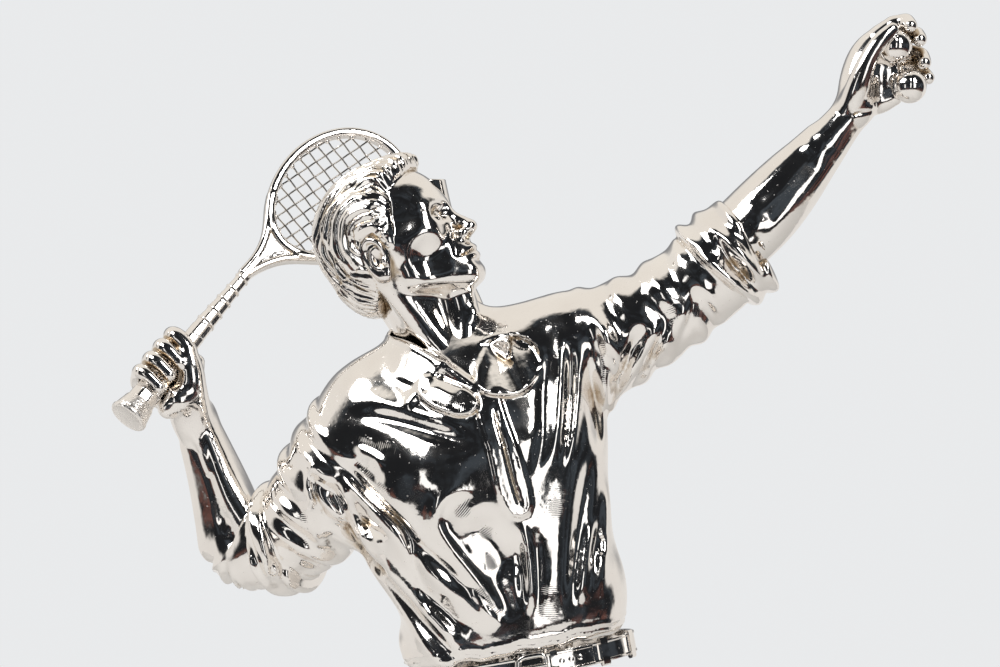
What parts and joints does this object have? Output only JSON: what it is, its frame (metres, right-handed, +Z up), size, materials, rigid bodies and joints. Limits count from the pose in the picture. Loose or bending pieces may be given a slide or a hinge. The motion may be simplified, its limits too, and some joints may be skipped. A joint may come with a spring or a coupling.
{
  "type": "figure trophy",
  "caption": "Silver-plated trophy figure of a server with racket and raised balls, standing on a cast plate and a turned wooden plinth.",
  "frame": {"origin": "centre of the plinth's underside, on the felt, where the trophy rests", "axes": "+Z up, +X towards the raised arm with the balls, -Y the way the figure's chest faces"},
  "size_m": [0.2154, 0.156, 0.4223],
  "materials": {
    "silver_plate": "polished silver plate over cast metal, warm, with tarnish in the creases",
    "string_wire": "silver-plated drawn wire",
    "ebonised_wood": "turned hardwood, stained black and polished",
    "zinc_steel": "bright zinc-plated steel",
    "green_felt": "pressed wool felt"
  },
  "bodies": {
    "root": {"torso": "silver_plate", "head": "silver_plate", "left_forearm": "silver_plate", "right_forearm": "silver_plate", "trousers": "silver_plate", "belt": "silver_plate", "belt_buckle": "silver_plate", "left_shoe": "silver_plate", "right_shoe": "silver_plate", "near_ball": "silver_plate", "far_ball": "silver_plate", "racket_hoop": "silver_plate", "racket_handle": "silver_plate", "handle_binding": "silver_plate", "butt_cap": "silver_plate", "main_strings": "string_wire", "cross_strings": "string_wire", "ground_plate": "silver_plate", "plinth": "ebonised_wood", "winners_band": "silver_plate", "band_pins": "silver_plate", "foot_studs": "zinc_steel", "stud_washers": "zinc_steel", "stud_nuts": "zinc_steel", "felt_pad": "green_felt"}
  },
  "joints": []
}
